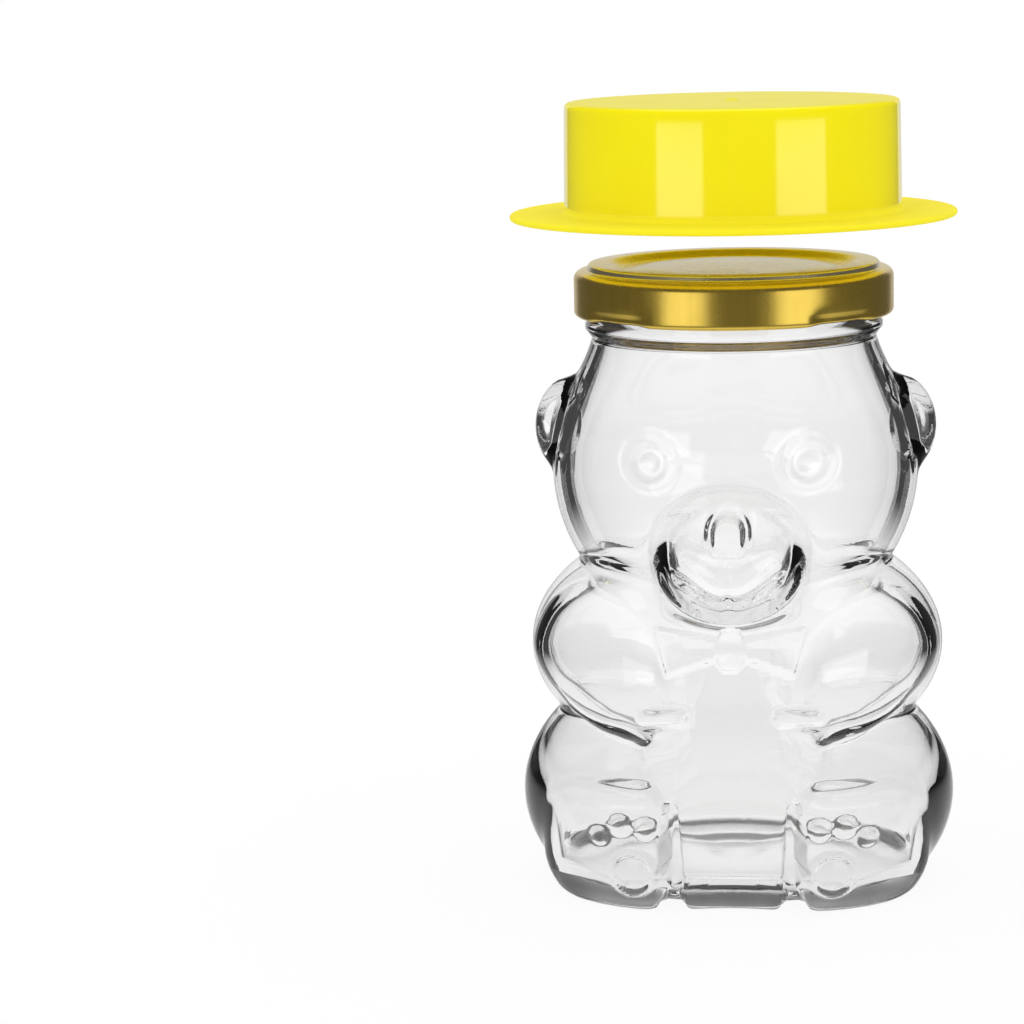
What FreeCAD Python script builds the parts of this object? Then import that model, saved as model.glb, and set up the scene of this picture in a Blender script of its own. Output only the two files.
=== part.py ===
import FreeCAD, Part
import os

import Sketcher
from FreeCAD import Placement, Rotation, Vector

# A clear glass honey jar in the shape of a sitting bear, with a twist-off lid and a slip-on hat.
# The origin is on the neck's axis, on the surface that the jar stands on. +Z is up and the bear
# faces -Y. The body is three ellipsoids, one each for the hips, the torso and the head, and the
# smaller forms are set into them.

# Driving dimensions: name, millimetres, what it is.
SIZES = [
    ("hip_half_width", 41.75, "hips, half width"),
    ("hip_half_depth", 30.0, "hips, half depth"),
    ("hip_half_height", 28.8, "hips, half height"),
    ("hip_level", 17.0, "height of the hips' centre"),
    ("torso_half_width", 39.6, "torso and upper arms, half width"),
    ("torso_half_depth", 29.5, "torso, half depth"),
    ("torso_half_height", 25.0, "torso, half height"),
    ("torso_level", 46.5, "height of the torso's centre"),
    ("head_half_width", 35.0, "head, half width"),
    ("head_half_depth", 32.0, "head, half depth"),
    ("head_half_height", 34.0, "head, half height"),
    ("head_drop", 37.5, "head's centre below the glass rim"),
    ("glass_wall", 2.4, "glass wall"),
    ("glass_floor", 7.0, "glass under the inside of the jar"),
    ("neck_radius", 26.5, "outside of the neck"),
    ("neck_wall", 2.2, "glass wall at the neck"),
    ("rim_height", 118.5, "height of the glass rim"),
    ("rim_edge", 0.6, "bevel at each edge of the rim"),
    ("bead_gap", 0.45, "between the lid's bottom and the bead under it"),
    ("bead_reach", 1.9, "how far the bead stands out of the neck"),
    ("bead_half_height", 1.5, "half height of the bead"),
    ("thread_gap", 0.9, "between the lid's lugs and the thread ridges above them"),
    ("thread_reach", 1.6, "how far a ridge stands out of the neck"),
    ("thread_half_height", 1.5, "half height of a ridge"),
    ("thread_span", 60.0, "degrees covered by one ridge"),
    ("ear_spread", 31.0, "ear's centre, out from the axis"),
    ("ear_rise", 6.5, "ears' centres above the head's centre"),
    ("ear_half_width", 7.4, "ear, half width"),
    ("ear_half_depth", 5.5, "ear, half depth"),
    ("ear_half_height", 10.5, "ear, half height"),
    ("muzzle_drop", 11.5, "muzzle's centre below the head's centre"),
    ("muzzle_forward", 26.5, "muzzle's centre, forward of the axis"),
    ("muzzle_half_width", 15.5, "muzzle, half width"),
    ("muzzle_half_depth", 10.5, "muzzle, half depth"),
    ("muzzle_half_height", 12.3, "muzzle, half height"),
    ("nose_rise", 5.9, "nose above the muzzle's centre"),
    ("nose_half_width", 3.8, "nose, half width"),
    ("nose_half_height", 3.1, "nose, half height"),
    ("nose_reach", 2.2, "how far the nose stands out of the muzzle"),
    ("eye_spread", 14.6, "eye's centre, out from the middle"),
    ("eye_rise", 4.5, "eyes above the head's centre"),
    ("eye_radius", 5.9, "eye ring"),
    ("pupil_radius", 2.4, "pupil"),
    ("eye_relief", 0.5, "how far the eye stands out of the head"),
    ("arm_radius", 7.4, "forearm, across"),
    ("arm_half_length", 16.5, "forearm, half length"),
    ("arm_spread", 22.5, "forearm's centre, out from the middle"),
    ("arm_forward", 20.5, "forearm's centre, forward of the axis"),
    ("arm_level", 39.5, "height of the forearm's centre"),
    ("arm_turn", 41.0, "degrees that the forearm turns inwards"),
    ("arm_dip", 10.0, "degrees that the hand hangs lower than the elbow"),
    ("foot_radius", 11.7, "foot, seen from the front"),
    ("foot_spread", 20.4, "foot's centre, out from the middle"),
    ("foot_level", 12.6, "height of the foot's centre"),
    ("foot_forward", 29.6, "sole, forward of the axis"),
    ("foot_root", 10.0, "back end of the foot, forward of the axis"),
    ("foot_rounding", 2.4, "bevel round the sole"),
    ("pad_relief", 0.5, "how far the paw pads stand out of the sole"),
    ("pad_radius", 3.7, "large paw pad"),
    ("pad_drop", 3.0, "large paw pad's centre below the foot's centre"),
    ("toe_radius", 2.0, "toe pad"),
    ("toe_distance", 8.0, "toe pad's centre from the large pad's centre"),
    ("toe_start", 41.0, "degrees from level of the first toe, seen from the large pad"),
    ("toe_step", 35.0, "degrees from one toe to the next"),
    ("toe_count", 3, "toes on a foot"),
    ("bow_level", 51.3, "height of the bow tie"),
    ("bow_half_width", 14.6, "bow tie, half width"),
    ("bow_tip_height", 10.2, "height of a wing at its tip"),
    ("bow_root_height", 4.6, "height of a wing at the knot"),
    ("bow_forward", 31.3, "front of the bow tie, forward of the axis"),
    ("bow_depth", 4.9, "depth of a wing at the knot"),
    ("bow_sweep", 1.6, "how far the tips lie behind the knot end"),
    ("knot_half_width", 2.9, "knot, half width"),
    ("knot_half_height", 4.5, "knot, half height"),
    ("lid_overhang", 3.9, "outside of the lid, out from the neck"),
    ("lid_height", 10.0, "height of the lid"),
    ("sheet", 0.25, "tinplate thickness"),
    ("curl_radius", 1.0, "rolled bottom edge, radius of the roll"),
    ("curl_inset", 0.05, "rolled edge, in from the skirt's outside"),
    ("shoulder_drop", 2.4, "lid's ring down to its skirt"),
    ("ring_overhang", 1.5, "lid's raised ring, out from the neck"),
    ("ring_lap", 0.4, "lid's raised ring, in from the jar's mouth"),
    ("panel_slope", 2.0, "width of the slope from the ring down to the sunk panel"),
    ("panel_drop", 1.4, "depth of the sunk panel below the ring"),
    ("groove_width", 1.8, "flat groove between the panel's edge and its raised centre"),
    ("button_slope", 3.1, "width of the slope from the groove up to the raised centre"),
    ("button_rise", 0.5, "height of the raised centre"),
    ("lug_clearance", 0.35, "between a lug and the neck"),
    ("lug_height", 1.3, "height of a lug"),
    ("lug_span", 24.0, "degrees covered by one lug"),
    ("lug_count", 4, "number of lugs and of thread ridges"),
    ("seal_thickness", 1.2, "sealing ring, from the glass rim up to the lid"),
    ("seal_gap", 0.3, "clearance beside the sealing ring"),
    ("hat_clearance", 0.6, "between the lid and the inside of the hat's crown"),
    ("hat_taper", 0.3, "how much narrower the crown is at its top"),
    ("brim_width", 10.4, "hat's brim, out from the crown"),
    ("hat_height", 22.0, "height of the hat"),
    ("hat_wall", 1.0, "wall of the crown"),
    ("brim_thickness", 1.2, "thickness of the brim"),
    ("brim_rounding", 0.4, "rounding of the brim's two edges"),
    ("crown_rounding", 1.0, "rounding of the crown's top edge"),
    ("gate_radius", 1.3, "moulding mark on top of the hat"),
    ("gate_height", 0.3, "height of the moulding mark"),
    ("hat_gap", 8.4, "lid up to the lifted hat's brim"),
]

doc = FreeCAD.newDocument("HoneyJar")
sheet = doc.addObject("Spreadsheet::Sheet", "Sizes")
for row, (alias, number, note) in enumerate(SIZES, start=1):
    sheet.set("A%d" % row, alias)
    sheet.set("B%d" % row, str(number))
    sheet.set("C%d" % row, note)
    sheet.setAlias("B%d" % row, alias)
doc.recompute()


class Size:
    """A size that knows its number and the sheet formula that gives it."""

    def __init__(self, number, formula):
        self.number = number
        self.formula = formula

    def __add__(self, other):
        other = as_size(other)
        return Size(self.number + other.number, "(%s + %s)" % (self.formula, other.formula))

    def __sub__(self, other):
        other = as_size(other)
        return Size(self.number - other.number, "(%s - %s)" % (self.formula, other.formula))

    def __mul__(self, other):
        other = as_size(other)
        return Size(self.number * other.number, "(%s * %s)" % (self.formula, other.formula))

    def __truediv__(self, other):
        other = as_size(other)
        return Size(self.number / other.number, "(%s / %s)" % (self.formula, other.formula))

    def __neg__(self):
        return Size(-self.number, "(0 - %s)" % self.formula)

    __radd__ = __add__
    __rmul__ = __mul__


def as_size(value):
    """Turns a plain number into a Size; a Size stays as it is."""
    if isinstance(value, Size):
        return value
    return Size(float(value), repr(float(value)))


def size(alias):
    """The driving dimension of that name."""
    return Size(float(sheet.get(alias)), "Sizes." + alias)


def bind(obj, **sizes):
    """Binds properties of an object to the sheet."""
    for name, value in sizes.items():
        value = as_size(value)
        setattr(obj, name, value.number)
        obj.setExpression(name, value.formula)
    return obj


def place(obj, x=0, y=0, z=0, turn=None):
    """Puts an object at a place given by sizes, after turning it."""
    if turn is not None:
        obj.Placement = Placement(Vector(), turn)
    for axis, value in (("x", x), ("y", y), ("z", z)):
        obj.setExpression("Placement.Base." + axis, as_size(value).formula)
    return obj


def ellipsoid(name, half_width, half_depth, half_height):
    obj = doc.addObject("Part::Ellipsoid", name)
    bind(obj, Radius1=half_height, Radius2=half_width, Radius3=half_depth)
    return bind(obj, Angle1=-90, Angle2=90, Angle3=360)


def cylinder(name, radius, height):
    return bind(doc.addObject("Part::Cylinder", name), Radius=radius, Height=height)


def cone(name, bottom_radius, top_radius, height):
    obj = doc.addObject("Part::Cone", name)
    return bind(obj, Radius1=bottom_radius, Radius2=top_radius, Height=height)


def torus(name, ring_radius, tube_radius, span=360):
    obj = doc.addObject("Part::Torus", name)
    bind(obj, Radius1=ring_radius, Radius2=tube_radius)
    return bind(obj, Angle1=-180, Angle2=180, Angle3=span)


def box(name, width, depth, height):
    return bind(doc.addObject("Part::Box", name), Length=width, Width=depth, Height=height)


def fuse(name, parts):
    obj = doc.addObject("Part::MultiFuse", name)
    obj.Shapes = parts
    return obj


def cut(name, base, tool):
    obj = doc.addObject("Part::Cut", name)
    obj.Base = base
    obj.Tool = tool
    return obj


def mirrored(name, source):
    """The same form on the other side of the middle plane."""
    obj = doc.addObject("Part::Mirroring", name)
    obj.Source = source
    obj.Normal = Vector(1, 0, 0)
    return obj


def pair(name, source):
    """A form of the bear's left side, with its twin on the right side."""
    return [source, mirrored(name + "_twin", source)]


# Shared heights and radii.

rim_height = size("rim_height")
neck_radius = size("neck_radius")
mouth_radius = neck_radius - size("neck_wall")
lid_radius = neck_radius + size("lid_overhang")
ring_outer = neck_radius + size("ring_overhang")
ring_inner = mouth_radius - size("ring_lap")
lug_count = int(size("lug_count").number)
seal_top = rim_height + size("seal_thickness")
lid_top = seal_top + size("sheet")
lid_bottom = lid_top - size("lid_height")
lug_top = lid_bottom + size("curl_radius") + size("lug_height") / 2
head_level = rim_height - size("head_drop")
muzzle_level = head_level - size("muzzle_drop")
TOWARDS_FRONT = Rotation(Vector(1, 0, 0), 90)

# Proportions of small curved details.

LENS_DEPTH = 2.0 / 3
SHOULDER_IN = 0.4
SHOULDER_DOWN = 0.45
SLANTED = 0.7


def large_forms(suffix, wall):
    """The hips, the torso and the head, or the hollow inside each of them."""
    forms = []
    for name, level in (("hip", size("hip_level")), ("torso", size("torso_level")), ("head", head_level)):
        form = ellipsoid(
            name.capitalize() + suffix,
            size(name + "_half_width") - wall,
            size(name + "_half_depth") - wall,
            size(name + "_half_height") - wall,
        )
        forms.append(place(form, z=level))
    return forms


def bear_forms():
    """The outside of the bear: three large forms and the smaller ones set into them."""
    forms = large_forms("", as_size(0))
    return forms + neck_forms() + face_forms() + limb_forms() + bow_forms()


def neck_forms():
    """The neck with the bead under the lid and the ridges that the lid's lugs slide under."""
    edge = size("rim_edge")
    neck = cylinder("Neck", neck_radius, rim_height - edge - head_level)
    place(neck, z=head_level)
    rim = cone("RimEdge", neck_radius, neck_radius - edge, edge)
    place(rim, z=rim_height - edge)
    bead_tube = size("bead_half_height")
    bead = torus("Bead", neck_radius + size("bead_reach") - bead_tube, bead_tube)
    place(bead, z=lid_bottom - size("bead_gap") - bead_tube)
    forms = [neck, rim, bead]
    tube = size("thread_half_height")
    span = size("thread_span")
    for number in range(lug_count):
        ridge = torus("Thread%d" % (number + 1), neck_radius + size("thread_reach") - tube, tube, span)
        start = number * 360.0 / lug_count - span.number / 2
        place(ridge, z=lug_top + size("thread_gap") + tube, turn=Rotation(Vector(0, 0, 1), start))
        forms.append(ridge)
    return forms


def head_front(spread, rise):
    """How far forward the head's surface lies, at a distance from the middle and above its centre."""
    across = (spread / size("head_half_width")).number
    up = (rise / size("head_half_height")).number
    return size("head_half_depth") * (1 - across ** 2 - up ** 2) ** 0.5


def face_forms():
    """Ears, eyes, muzzle and nose."""
    ear = ellipsoid("Ear", size("ear_half_width"), size("ear_half_depth"), size("ear_half_height"))
    place(ear, x=size("ear_spread"), z=head_level + size("ear_rise"))
    forms = pair("Ear", ear)

    spread = size("eye_spread")
    rise = size("eye_rise")
    eye_front = head_front(spread, rise)
    for name, radius, layers in (("Eye", size("eye_radius"), 1), ("Pupil", size("pupil_radius"), 2)):
        depth = radius * LENS_DEPTH
        lens = ellipsoid(name, radius, depth, radius)
        place(lens, x=spread, y=depth - eye_front - size("eye_relief") * layers, z=head_level + rise)
        forms += pair(name, lens)

    muzzle_depth = size("muzzle_half_depth")
    muzzle_forward = size("muzzle_forward")
    muzzle = ellipsoid("Muzzle", size("muzzle_half_width"), muzzle_depth, size("muzzle_half_height"))
    place(muzzle, y=-muzzle_forward, z=muzzle_level)
    reach = size("nose_reach")
    nose = ellipsoid("Nose", size("nose_half_width"), reach * 2, size("nose_half_height"))
    place(nose, y=reach - muzzle_forward - muzzle_depth, z=muzzle_level + size("nose_rise"))
    return forms + [muzzle, nose]


def limb_forms():
    """Forearms with their hands, and feet with their pads."""
    arm_radius = size("arm_radius")
    forearm = ellipsoid("Forearm", size("arm_half_length"), arm_radius, arm_radius)
    turned = Rotation(Vector(0, 0, 1), size("arm_turn").number)
    dipped = Rotation(Vector(0, 1, 0), -size("arm_dip").number)
    place(
        forearm,
        x=size("arm_spread"),
        y=-size("arm_forward"),
        z=size("arm_level"),
        turn=turned.multiply(dipped),
    )
    forms = pair("Forearm", forearm)

    spread = size("foot_spread")
    level = size("foot_level")
    radius = size("foot_radius")
    rounding = size("foot_rounding")
    front = size("foot_forward")
    root = size("foot_root")
    foot = cylinder("Foot", radius, front - rounding - root)
    place(foot, x=spread, y=-root, z=level, turn=TOWARDS_FRONT)
    sole = cone("Sole", radius, radius - rounding, rounding)
    place(sole, x=spread, y=rounding - front, z=level, turn=TOWARDS_FRONT)
    forms += pair("Foot", foot) + pair("Sole", sole)

    relief = size("pad_relief")
    pad_level = level - size("pad_drop")
    pads = [("Pad", size("pad_radius"), 0, 0)]
    distance = size("toe_distance")
    for number in range(int(size("toe_count").number)):
        degrees = size("toe_start") + size("toe_step") * number
        towards = Rotation(Vector(0, 0, 1), degrees.number).multVec(Vector(1, 0, 0))
        name = "Toe%d" % (number + 1)
        pads.append((name, size("toe_radius"), distance * towards.x, distance * towards.y))
    for name, pad_radius, across, up in pads:
        pad = cylinder(name, pad_radius, relief * 2)
        place(pad, x=spread + across, y=relief - front, z=pad_level + up, turn=TOWARDS_FRONT)
        forms += pair(name, pad)
    return forms


def bow_forms():
    """The bow tie: two wings that widen from the knot to their tips."""
    front = size("bow_forward")
    depth = size("bow_depth")
    sweep = size("bow_sweep")
    root = size("bow_root_height") / 2
    tip = size("bow_tip_height") / 2
    wing = doc.addObject("Part::Wedge", "BowWing")
    bind(wing, Xmin=front - depth, Xmax=front, X2min=front - depth * 2, X2max=front - sweep)
    bind(wing, Ymin=0, Ymax=size("bow_half_width"))
    bind(wing, Zmin=-root, Zmax=root, Z2min=-tip, Z2max=tip)
    place(wing, z=size("bow_level"), turn=Rotation(Vector(0, 0, 1), -90))
    knot = ellipsoid("Knot", size("knot_half_width"), size("knot_half_width"), size("knot_half_height"))
    place(knot, y=size("knot_half_width") / 2 - front, z=size("bow_level"))
    return pair("BowWing", wing) + [knot]


def inside_forms():
    """The hollow of the jar: the three large forms less the wall, and the bore of the neck."""
    forms = large_forms("Hollow", size("glass_wall"))
    bore = cylinder("Bore", mouth_radius, rim_height - head_level)
    place(bore, z=head_level)
    flare = cone("BoreEdge", mouth_radius, mouth_radius + size("rim_edge"), size("rim_edge"))
    place(flare, z=rim_height - size("rim_edge"))
    return forms + [bore, flare]


def slab(name, top):
    """Everything below a height, to cut the bear off flat there."""
    width = size("hip_half_width") * 4
    block = box(name, width, width, width)
    return place(block, x=-width / 2, y=-width / 2, z=top - width)


def build_jar():
    bear = cut("BearOutside", fuse("BearForms", bear_forms()), slab("BelowBase", as_size(0)))
    hollow = cut("BearInside", fuse("HollowForms", inside_forms()), slab("BelowFloor", size("glass_floor")))
    jar = cut("GlassJar", bear, hollow)
    jar.Label = "glass_jar"
    return jar


def new_body(name, label, level, turn=0):
    body = doc.addObject("PartDesign::Body", name)
    body.Label = label
    return place(body, z=level, turn=Rotation(Vector(0, 0, 1), turn))


def new_sketch(body, name):
    """An empty sketch on the body's upright XZ plane."""
    sketch = body.newObject("Sketcher::SketchObject", name)
    plane = next(item for item in body.Origin.OriginFeatures if item.Role == "XZ_Plane")
    sketch.AttachmentSupport = [(plane, "")]
    sketch.MapMode = "FlatFace"
    return sketch


def fix_point(sketch, element, end, radius, level):
    """Holds a point of the sketch at a radius from the axis and a level, both from the sheet."""
    origin = (-1, 1)
    upright_axis = -2
    level_axis = -1
    for kind, value, axis in (("DistanceX", radius, upright_axis), ("DistanceY", level, level_axis)):
        value = as_size(value)
        if value.number == 0:
            sketch.addConstraint(Sketcher.Constraint("PointOnObject", element, end, axis))
            continue
        number = sketch.addConstraint(Sketcher.Constraint(kind, *origin, element, end, value.number))
        sketch.setExpression("Constraints[%d]" % number, value.formula)


def outline(body, name, points):
    """A closed outline of straight runs through points given as (radius, level)."""
    sketch = new_sketch(body, name)
    corners = [Vector(as_size(radius).number, as_size(level).number, 0) for radius, level in points]
    lines = [Part.LineSegment(corner, corners[(n + 1) % len(corners)]) for n, corner in enumerate(corners)]
    sketch.addGeometry(lines)
    for n, (radius, level) in enumerate(points):
        sketch.addConstraint(Sketcher.Constraint("Coincident", n, 2, (n + 1) % len(points), 1))
        fix_point(sketch, n, 1, radius, level)
    return sketch


def round_section(body, name, radius, level, section_radius):
    """A circle in the upright plane, which a revolution turns into a ring."""
    sketch = new_sketch(body, name)
    centre = Vector(radius.number, level.number, 0)
    sketch.addGeometry(Part.Circle(centre, Vector(0, 0, 1), section_radius.number))
    fix_point(sketch, 0, 3, radius, level)
    number = sketch.addConstraint(Sketcher.Constraint("Radius", 0, section_radius.number))
    sketch.setExpression("Constraints[%d]" % number, section_radius.formula)
    return sketch


def revolve(body, sketch, name, span=360):
    """Turns a sketch about the body's upright axis, evenly to both sides of its plane."""
    turned = body.newObject("PartDesign::Revolution", name)
    turned.Profile = sketch
    turned.ReferenceAxis = (sketch, ["V_Axis"])
    turned.Midplane = True
    return bind(turned, Angle=span)


def round_edges(body, base, name, rounding, wanted):
    """Rounds the circular edges whose (radius, level) are in the wanted list."""
    doc.recompute()
    chosen = []
    for number, edge in enumerate(base.Shape.Edges, start=1):
        if not isinstance(edge.Curve, Part.Circle):
            continue
        for radius, level in wanted:
            near_radius = abs(edge.Curve.Radius - as_size(radius).number) < 0.001
            near_level = abs(edge.Curve.Center.z - as_size(level).number) < 0.001
            if near_radius and near_level:
                chosen.append("Edge%d" % number)
    if len(chosen) != len(wanted):
        raise RuntimeError("%s: found %d edges of %d" % (name, len(chosen), len(wanted)))
    fillet = body.newObject("PartDesign::Fillet", name)
    fillet.Base = (base, chosen)
    return bind(fillet, Radius=rounding)


def build_lid():
    """The tinplate lid. Its own zero level is the bottom of the rolled edge."""
    lug_turn = 180.0 / lug_count
    body = new_body("Lid", "lid_shell", lid_bottom, turn=lug_turn)
    top = size("lid_height")
    thickness = size("sheet")
    drop = size("shoulder_drop")
    curl = size("curl_radius")
    panel = top - size("panel_drop")
    panel_edge = ring_inner - size("panel_slope")
    groove_edge = panel_edge - size("groove_width")
    shoulder_width = lid_radius - ring_outer
    button = panel + size("button_rise")
    shoulder_line = [
        (lid_radius - shoulder_width * SHOULDER_IN, top - drop * SHOULDER_DOWN),
        (ring_outer, top - thickness),
    ]
    panel_line = [
        (ring_outer - thickness * 2, top),
        (ring_inner, top),
        (panel_edge, panel),
        (groove_edge, panel),
        (groove_edge - size("button_slope"), button),
        (as_size(0), button),
    ]
    slanted = thickness * SLANTED
    under_line = [(across, level - thickness) for across, level in reversed(panel_line)]
    under_line += [(across - slanted, level - slanted) for across, level in reversed(shoulder_line)]
    points = [(lid_radius, curl), (lid_radius, top - drop)] + shoulder_line + panel_line + under_line
    points += [(lid_radius - thickness, top - drop), (lid_radius - thickness, curl)]
    revolve(body, outline(body, "LidOutline", points), "LidSheet")

    curl_middle = lid_radius - curl - size("curl_inset")
    revolve(body, round_section(body, "CurlSection", curl_middle, curl, curl), "Curl")

    half = size("lug_height") / 2
    reach = neck_radius + size("lug_clearance")
    corners = [
        (curl_middle, curl - half),
        (curl_middle, curl + half),
        (reach, curl + half),
        (reach, curl - half),
    ]
    lug = revolve(body, outline(body, "LugOutline", corners), "Lug", size("lug_span"))
    doc.recompute()
    lugs = body.newObject("PartDesign::PolarPattern", "Lugs")
    lugs.Originals = [lug]
    lugs.Axis = (next(item for item in body.Origin.OriginFeatures if item.Role == "Z_Axis"), [""])
    lugs.Angle = 360
    lugs.Occurrences = lug_count
    body.Tip = lugs
    return body


def build_seal():
    """The ring of sealing compound, between the lid's raised ring and the glass rim."""
    body = new_body("Seal", "lid_seal", rim_height)
    gap = size("seal_gap")
    inner = ring_inner + gap
    outer = ring_outer - size("sheet") - gap
    bevel = gap
    thickness = size("seal_thickness")
    points = [
        (outer, bevel),
        (outer, thickness),
        (inner, thickness),
        (inner, bevel),
        (inner + bevel, as_size(0)),
        (outer - bevel, as_size(0)),
    ]
    revolve(body, outline(body, "SealOutline", points), "SealRing")
    return body


def build_hat():
    """The slip-on boater hat. Its own zero level is the underside of the brim."""
    body = new_body("Hat", "hat", lid_top + size("hat_gap"))
    top = size("hat_height")
    wall = size("hat_wall")
    crown = lid_radius + size("hat_clearance") + wall
    brim = crown + size("brim_width")
    thickness = size("brim_thickness")
    crown_top = crown - size("hat_taper")
    nub_top = top + size("gate_height")
    points = [
        (brim, as_size(0)),
        (brim, thickness),
        (crown, thickness),
        (crown_top, top),
        (size("gate_radius"), top),
        (size("gate_radius"), nub_top),
        (as_size(0), nub_top),
        (as_size(0), top - wall),
        (crown_top - wall, top - wall),
        (crown - wall, as_size(0)),
    ]
    shell = revolve(body, outline(body, "HatOutline", points), "HatShell")
    round_edges(body, shell, "CrownRounding", size("crown_rounding"), [(crown_top, top)])
    edges = [(brim, 0), (brim, thickness)]
    rim = round_edges(body, body.Tip, "BrimRounding", size("brim_rounding"), edges)
    body.Tip = rim
    return body


def write(pieces):
    """Checks every object and writes each piece to its own file, named by its label."""
    doc.recompute()
    for obj in doc.Objects:
        if "Invalid" in obj.State or "Error" in obj.State:
            raise RuntimeError("%s is %s" % (obj.Label, obj.State))
    for piece in pieces:
        if piece.Shape.isNull() or not piece.Shape.isValid():
            raise RuntimeError("%s has no valid shape" % piece.Label)
    os.makedirs("parts", exist_ok=True)
    for piece in pieces:
        piece.Shape.exportStep("parts/%s.step" % piece.Label)
        print(piece.Label, len(piece.Shape.Solids), "solid,", round(piece.Shape.Volume / 1000, 2), "ml")


write([build_jar(), build_lid(), build_seal(), build_hat()])
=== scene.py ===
from math import cos, pi, radians, sin

import bmesh
import bpy
import numpy as np
from mathutils import Matrix, Vector


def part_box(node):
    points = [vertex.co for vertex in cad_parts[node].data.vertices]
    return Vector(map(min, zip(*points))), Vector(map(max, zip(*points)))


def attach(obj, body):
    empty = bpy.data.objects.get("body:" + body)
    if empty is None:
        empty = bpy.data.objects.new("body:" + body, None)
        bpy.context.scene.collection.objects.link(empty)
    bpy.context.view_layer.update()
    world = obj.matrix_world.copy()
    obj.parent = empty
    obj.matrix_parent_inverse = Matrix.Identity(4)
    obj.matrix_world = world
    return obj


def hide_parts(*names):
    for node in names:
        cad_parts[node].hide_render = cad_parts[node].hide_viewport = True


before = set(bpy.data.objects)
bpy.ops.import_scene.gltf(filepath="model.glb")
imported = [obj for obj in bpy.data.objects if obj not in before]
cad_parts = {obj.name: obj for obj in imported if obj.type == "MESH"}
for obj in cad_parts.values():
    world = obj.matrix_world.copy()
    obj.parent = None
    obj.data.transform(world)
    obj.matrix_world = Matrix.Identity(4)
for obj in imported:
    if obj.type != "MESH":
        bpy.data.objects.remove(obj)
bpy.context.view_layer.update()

# The looks of a clear glass honey jar in the shape of a sitting bear, with a gold twist-off lid and
# a yellow boater hat. Sizes are millimetres, as on a drawing, and MM turns them into metres. +Z is
# up, the bear faces -Y, and both halves of the bear are the same, so its forms are given for +X.

MM = 0.001
jar_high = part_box("glass_jar")[1]
lid_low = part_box("lid_shell")[0]
hat_low, hat_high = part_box("hat")
RIM = jar_high.z / MM
LID_BOTTOM = lid_low.z / MM
HAT_BOTTOM = hat_low.z / MM
HAT_TOP = hat_high.z / MM
BRIM_RADIUS = hat_high.x / MM
TINY = 1e-9


# ---- Spun pieces -------------------------------------------------------------------------------

def arc(centre, radius, start, end, count):
    """Points (across, up) on an arc, from one angle in degrees to another."""
    angles = [radians(start + (end - start) * n / (count - 1)) for n in range(count)]
    return [(centre[0] + radius * cos(angle), centre[1] + radius * sin(angle)) for angle in angles]


def run(start, end, count):
    """Points (across, up) along a straight run, without its two ends."""
    across, up = end[0] - start[0], end[1] - start[1]
    shares = [n / (count + 1) for n in range(1, count + 1)]
    return [(start[0] + across * share, start[1] + up * share) for share in shares]


def spun(chain, columns):
    """A bmesh made by turning a chain of (across, up) points once round the upright axis."""
    form = bmesh.new()
    points = [form.verts.new((across, 0.0, up)) for across, up in chain]
    edges = [form.edges.new(ends) for ends in zip(points, points[1:])]
    bmesh.ops.spin(
        form,
        geom=points + edges,
        cent=(0, 0, 0),
        axis=(0, 0, 1),
        dvec=(0, 0, 0),
        angle=2 * pi,
        steps=columns,
        use_merge=True,
        use_duplicate=False,
    )
    bmesh.ops.remove_doubles(form, verts=form.verts, dist=1e-5)
    return form


def finished(form, name, body, material, replaced):
    """Turns a bmesh in millimetres into a smooth piece of the scene that stands for a CAD node."""
    bmesh.ops.scale(form, vec=(MM, MM, MM), verts=form.verts)
    bmesh.ops.recalc_face_normals(form, faces=form.faces)
    mesh = bpy.data.meshes.new(name)
    form.to_mesh(mesh)
    form.free()
    for face in mesh.polygons:
        face.use_smooth = True
    piece = bpy.data.objects.new(name, mesh)
    bpy.context.scene.collection.objects.link(piece)
    mesh.materials.append(material)
    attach(piece, body)
    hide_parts(replaced)
    return piece


# ---- Shapes as distances -----------------------------------------------------------------------
# Each takes an array of points and gives how far each point lies outside a form, below zero inside.

def ellipsoid(points, centre, radii):
    scaled = (points - np.array(centre)) / np.array(radii)
    near = np.linalg.norm(scaled, axis=-1)
    steep = np.linalg.norm(scaled / np.array(radii), axis=-1)
    return near * (near - 1.0) / np.maximum(steep, TINY)


def ring(points, level, across, thick):
    """A round ring about the upright axis."""
    out = np.hypot(points[..., 0], points[..., 1]) - across
    return np.hypot(out, points[..., 2] - level) - thick


def upright_cylinder(points, radius, bottom):
    out = np.hypot(points[..., 0], points[..., 1]) - radius
    return np.maximum(out, bottom - points[..., 2])


def joined(one, other, reach):
    """Two forms run together with a soft fillet."""
    overlap = np.maximum(reach - np.abs(one - other), 0.0) / reach
    return np.minimum(one, other) - overlap * overlap * reach / 4


def carved(one, other, reach):
    """The first form with the second taken out of it, with a soft edge."""
    return -joined(-one, other, reach)


def ramp(value, low, high):
    """Climbs smoothly from 0 at low to 1 at high."""
    share = np.clip((value - low) / (high - low), 0.0, 1.0)
    return share * share * (3.0 - 2.0 * share)


def ridge(value, width):
    """1 on a line, falling off to both sides of it."""
    return np.exp(-(value / width) ** 2)


# ---- The bear ----------------------------------------------------------------------------------

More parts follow.
